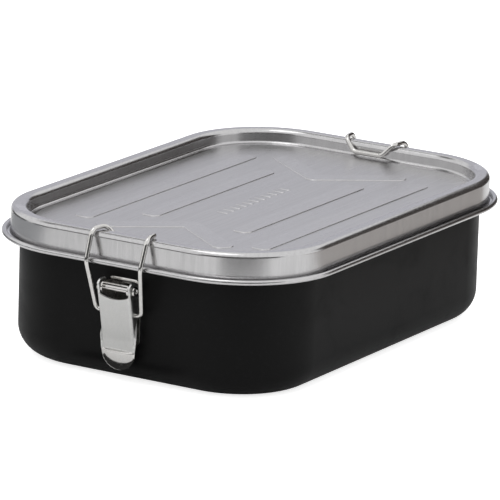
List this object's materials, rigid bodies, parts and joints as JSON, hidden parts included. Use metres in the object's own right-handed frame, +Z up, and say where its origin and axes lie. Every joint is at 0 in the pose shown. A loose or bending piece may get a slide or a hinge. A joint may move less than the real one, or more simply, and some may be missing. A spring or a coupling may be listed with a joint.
{
  "type": "lunch box",
  "caption": "Rectangular steel lunch box with a deep-drawn tray, a ribbed recessed lid with a silicone seal, and an over-centre wire latch on each short end.",
  "frame": {"origin": "centre of the tray's underside, on the surface it stands on", "axes": "+X along the long side towards the rear latch, +Y across the box, +Z up"},
  "size_m": [0.2204, 0.1528, 0.0652],
  "materials": {
    "powder_coated_tray": "black satin powder coat outside, bare brushed steel inside",
    "brushed_lid": "satin brushed stainless steel sheet",
    "silicone_seal": "translucent grey silicone, matt",
    "latch_bracket": "pressed stainless steel, bright",
    "latch_rivet": "bright turned stainless steel",
    "latch_lever": "pressed stainless steel, fine satin, bright spoon tip",
    "bail_wire": "bright drawn stainless steel wire"
  },
  "bodies": {
    "tray": {"tray": "powder_coated_tray", "front_bracket": "latch_bracket", "front_pivot_pin": "latch_rivet", "rear_bracket": "latch_bracket", "rear_pivot_pin": "latch_rivet"},
    "lid": {"lid": "brushed_lid", "seal": "silicone_seal"},
    "front_lever": {"front_lever": "latch_lever"},
    "front_bail": {"front_bail": "bail_wire"},
    "rear_lever": {"rear_lever": "latch_lever"},
    "rear_bail": {"rear_bail": "bail_wire"}
  },
  "joints": [
    {"name": "lid_lift", "type": "slide", "parent": "tray", "child": "lid", "axis": [0, 0, 1], "range_m": [0, 0.19]},
    {"name": "front_lever_hinge", "type": "hinge", "parent": "tray", "child": "front_lever", "pos_m": [-0.1058, 0, 0.0413], "axis": [0, 1, 0], "range_deg": [0, 120.5]},
    {"name": "front_bail_hinge", "type": "hinge", "parent": "front_lever", "child": "front_bail", "pos_m": [-0.1042, 0, 0.031], "axis": [0, -1, 0], "range_deg": [0, 82.1]},
    {"name": "rear_lever_hinge", "type": "hinge", "parent": "tray", "child": "rear_lever", "pos_m": [0.1058, 0, 0.0413], "axis": [0, -1, 0], "range_deg": [0, 120.5]},
    {"name": "rear_bail_hinge", "type": "hinge", "parent": "rear_lever", "child": "rear_bail", "pos_m": [0.1042, 0, 0.031], "axis": [0, 1, 0], "range_deg": [0, 82.1]}
  ],
  "couplings": [
    {"joint": "front_lever_hinge", "follows": "lid_lift", "rad_per_m": 11.023},
    {"joint": "front_bail_hinge", "follows": "lid_lift", "rad_per_m": 7.4957},
    {"joint": "rear_lever_hinge", "follows": "lid_lift", "rad_per_m": 11.023},
    {"joint": "rear_bail_hinge", "follows": "lid_lift", "rad_per_m": 7.4957}
  ]
}
